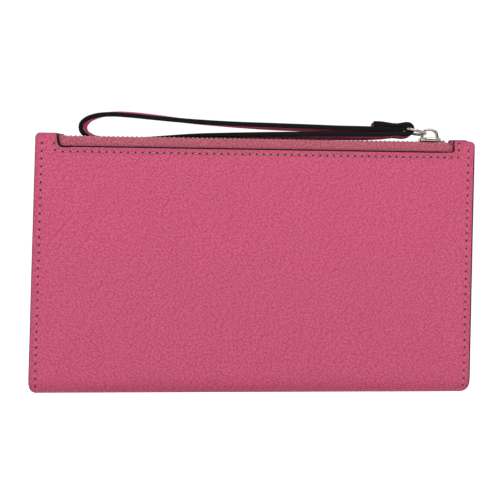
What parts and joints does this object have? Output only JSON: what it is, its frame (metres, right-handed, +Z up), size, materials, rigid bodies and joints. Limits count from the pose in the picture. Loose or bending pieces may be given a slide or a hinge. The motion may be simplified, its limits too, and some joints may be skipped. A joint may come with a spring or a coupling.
{
  "type": "wristlet wallet",
  "caption": "Long leather wallet that folds shut on its base, with a zipped pocket along the top and a leather wrist loop on a D-shaped ring.",
  "frame": {"origin": "middle of the base that the closed wallet stands on, halfway between its rear and front faces", "axes": "+X along the wallet towards the closed end of the zipper, +Y from the zipped rear half to the front half, +Z up out of the fold"},
  "size_m": [0.19, 0.0196, 0.1219],
  "materials": {
    "leather_pink": "rose pink pebbled leather, black painted edges",
    "leather_strap": "rose pink strap leather, black painted edges",
    "lining_cloth": "black woven lining",
    "zip_tape": "dusty pink herringbone zipper tape",
    "nickel": "polished nickel plate",
    "zip_teeth": "pale nickel teeth",
    "thread": "greyish pink waxed thread",
    "board": "grey-brown stiffener board",
    "magnet": "plated magnet and steel plate"
  },
  "bodies": {
    "rear_half": {"rear_cover": "leather_pink", "pocket_lining_rear": "lining_cloth", "pocket_lining_divider": "lining_cloth", "divider_panel": "leather_pink", "gusset_left": "leather_pink", "gusset_right": "leather_pink", "slip_pocket": "leather_pink", "closure_plate": "magnet", "zipper_tape_rear": "zip_tape", "zipper_tape_front": "zip_tape", "zipper_teeth_rear": "zip_teeth", "zipper_teeth_front": "zip_teeth", "zipper_top_stops": "nickel", "zipper_bottom_stop": "nickel", "thread_notch_seam": "thread", "thread_left_seam": "thread", "thread_right_seam": "thread"},
    "spine": {"spine_leather": "leather_pink", "spine_lining": "lining_cloth"},
    "front_half": {"front_cover": "leather_pink", "front_stiffener": "board", "closure_magnet": "magnet", "bill_pocket_lining": "lining_cloth", "card_base_panel": "leather_pink", "card_slot_left_1": "leather_pink", "card_slot_left_2": "leather_pink", "card_slot_left_3": "leather_pink", "card_slot_right_1": "leather_pink", "card_slot_right_2": "leather_pink", "card_slot_right_3": "leather_pink", "thread_front_seam": "thread", "thread_card_seam": "thread"},
    "slider": {"slider_upper_plate": "nickel", "slider_lower_plate": "nickel", "slider_post": "nickel", "slider_bridge": "nickel"},
    "ring": {"d_ring": "nickel"},
    "strap": {"wrist_strap": "leather_strap", "rivet_post": "nickel", "rivet_cap": "nickel"}
  },
  "joints": [
    {"name": "rear_fold", "type": "hinge", "parent": "rear_half", "child": "spine", "pos_m": [0, -0.009, 0], "axis": [-1, 0, 0], "range_deg": [0, 90]},
    {"name": "front_fold", "type": "hinge", "parent": "spine", "child": "front_half", "pos_m": [0, 0.009, 0], "axis": [-1, 0, 0], "range_deg": [0, 90]},
    {"name": "zip_slide", "type": "slide", "parent": "rear_half", "child": "slider", "axis": [-1, 0, 0], "range_m": [0, 0.15]},
    {"name": "ring_swing", "type": "hinge", "parent": "slider", "child": "ring", "pos_m": [0.0746, -0.0047, 0.1149], "axis": [0.0576, 0.9983, 0], "range_deg": [0, 75]},
    {"name": "strap_swing", "type": "hinge", "parent": "ring", "child": "strap", "pos_m": [0.06523, -0.00416, 0.11539], "axis": [0.0576, 0.9983, 0], "range_deg": [0, 100]}
  ],
  "couplings": [
    {"joint": "front_fold", "follows": "rear_fold", "ratio": 1}
  ]
}
